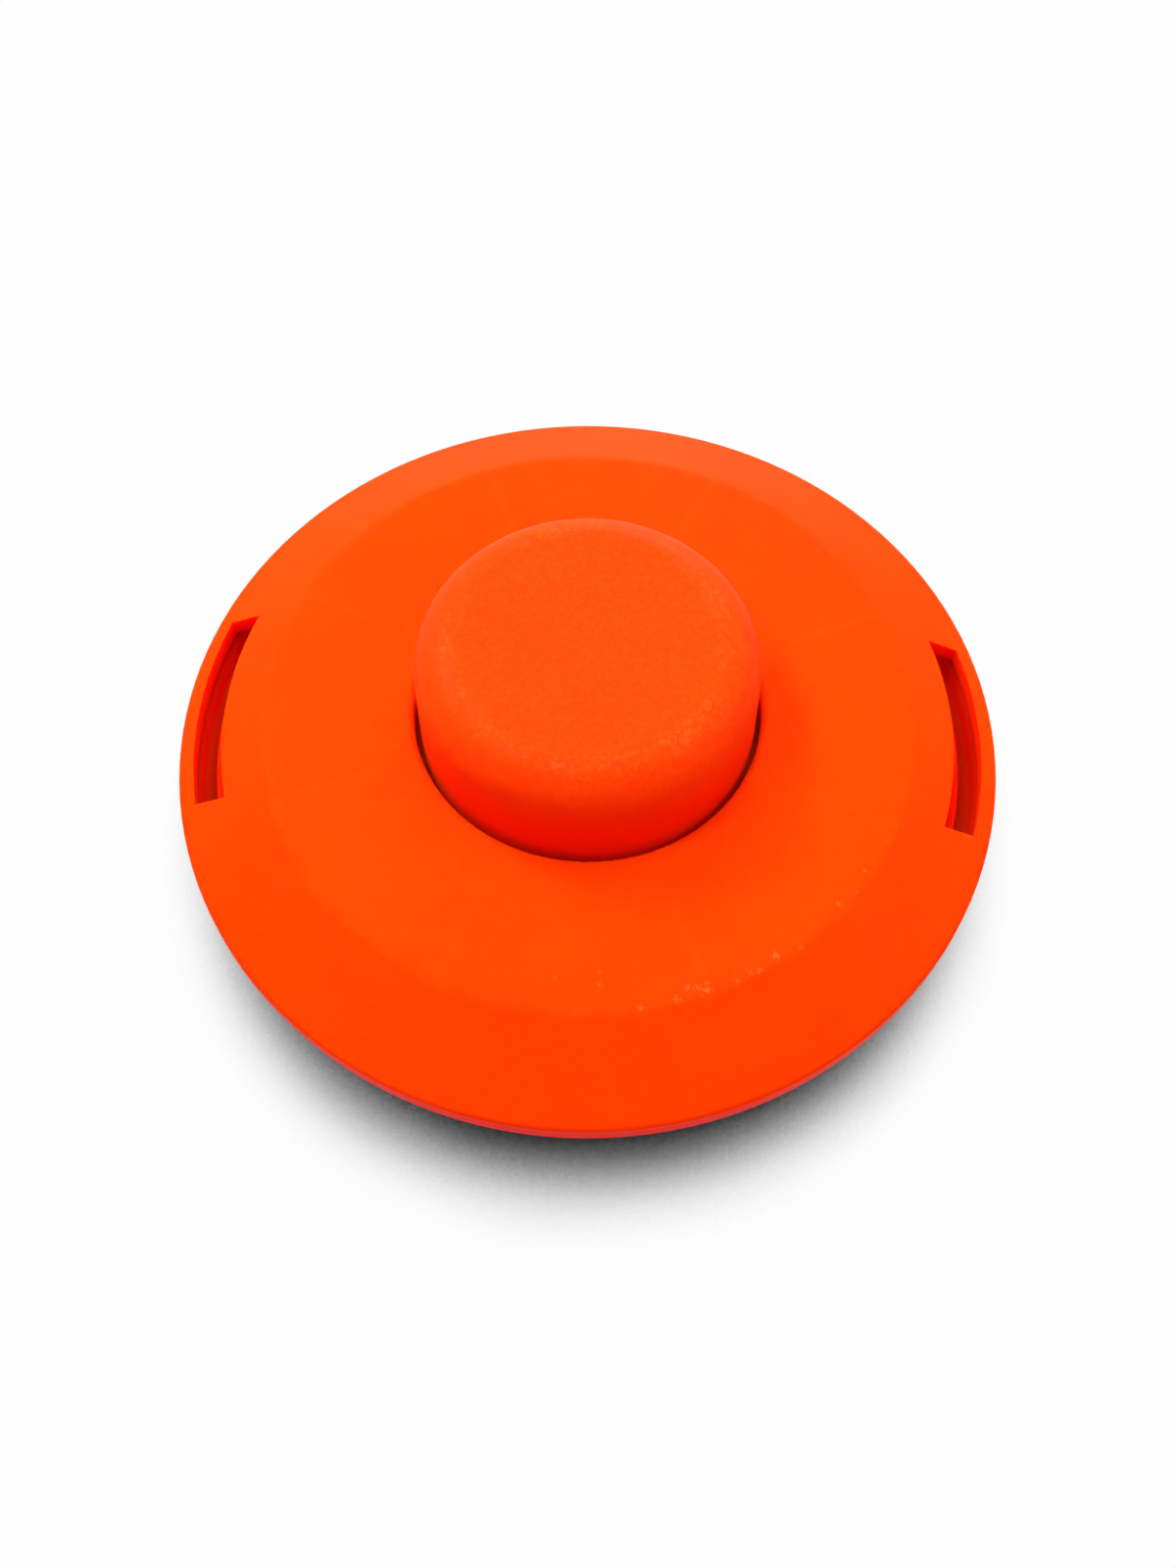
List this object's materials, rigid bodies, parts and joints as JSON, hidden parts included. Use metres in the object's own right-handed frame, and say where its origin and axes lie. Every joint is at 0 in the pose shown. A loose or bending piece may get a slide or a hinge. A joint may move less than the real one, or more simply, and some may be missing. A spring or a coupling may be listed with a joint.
{
  "type": "trimmer head",
  "caption": "Round bump-feed string trimmer head: bevelled cap over a bowl housing, with a sprung knob and spool that let out cutting line when tapped.",
  "frame": {"origin": "centre of the hub's mounting face, on the arbor's axis", "axes": "+Z along the arbor's axis towards the knob, latches on X, line eyelets on Y"},
  "size_m": [0.115, 0.115, 0.0491],
  "materials": {
    "cap_nylon": "bright orange glass-filled nylon with a fine spark-eroded grain",
    "knob_nylon": "bright orange nylon, fine grain, softly rounded",
    "housing_nylon": "bright orange glass-filled nylon, fine grain",
    "spool_nylon": "orange nylon, smooth",
    "spring_steel": "drawn spring wire",
    "washer_steel": "stamped steel",
    "nut_steel": "zinc-plated steel",
    "eyelet_steel": "turned steel"
  },
  "bodies": {
    "head": {"housing": "housing_nylon", "cap": "cap_nylon", "arbor_nut": "nut_steel", "eyelet_front": "eyelet_steel", "eyelet_back": "eyelet_steel", "feed_spring": "spring_steel"},
    "slider": {"thrust_washer": "washer_steel"},
    "feed": {"spool": "spool_nylon", "bump_knob": "knob_nylon"}
  },
  "joints": [
    {"name": "bump", "type": "slide", "parent": "head", "child": "slider", "axis": [0, 0, -1], "range_m": [0, 0.005], "stiffness_N_per_m": 2400, "springref_m": -0.006, "deforming": ["feed_spring"]},
    {"name": "index", "type": "hinge", "parent": "slider", "child": "feed", "pos_m": [0, 0, 0.0281], "axis": [0, 0, 1], "range_deg": [0, 62]}
  ]
}
